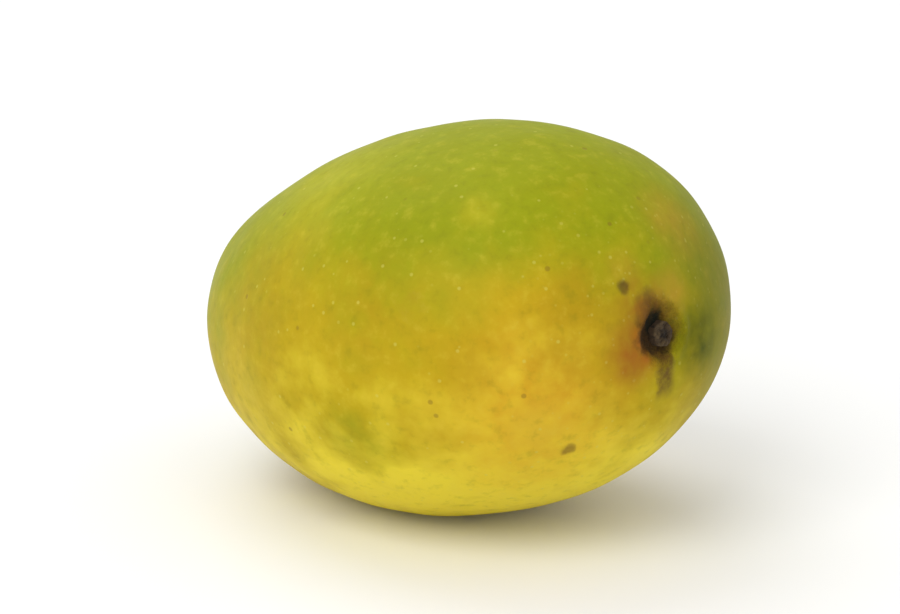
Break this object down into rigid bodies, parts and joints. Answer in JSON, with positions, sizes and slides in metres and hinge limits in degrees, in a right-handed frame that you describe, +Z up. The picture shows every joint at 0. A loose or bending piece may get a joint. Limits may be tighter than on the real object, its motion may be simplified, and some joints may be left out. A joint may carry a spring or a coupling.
{
  "type": "priyoor mango",
  "caption": "Whole egg-shaped green-yellow mango lying on its cheek, with a dry stalk stub in a shallow corky basin at its fuller end.",
  "frame": {"origin": "on the surface the fruit lies on, under the middle of its bounding box", "axes": "+X along the fruit towards its stalk end, +Y across its width, +Z up from the cheek it lies on"},
  "size_m": [0.108, 0.082, 0.0733],
  "materials": {
    "skin": "satin, waxy fruit skin, green above and yellow to orange-yellow on the belly",
    "stalk": "dry, weathered, matte"
  },
  "bodies": {
    "root": {"fruit": "skin", "stalk_stub": "stalk"}
  },
  "joints": []
}
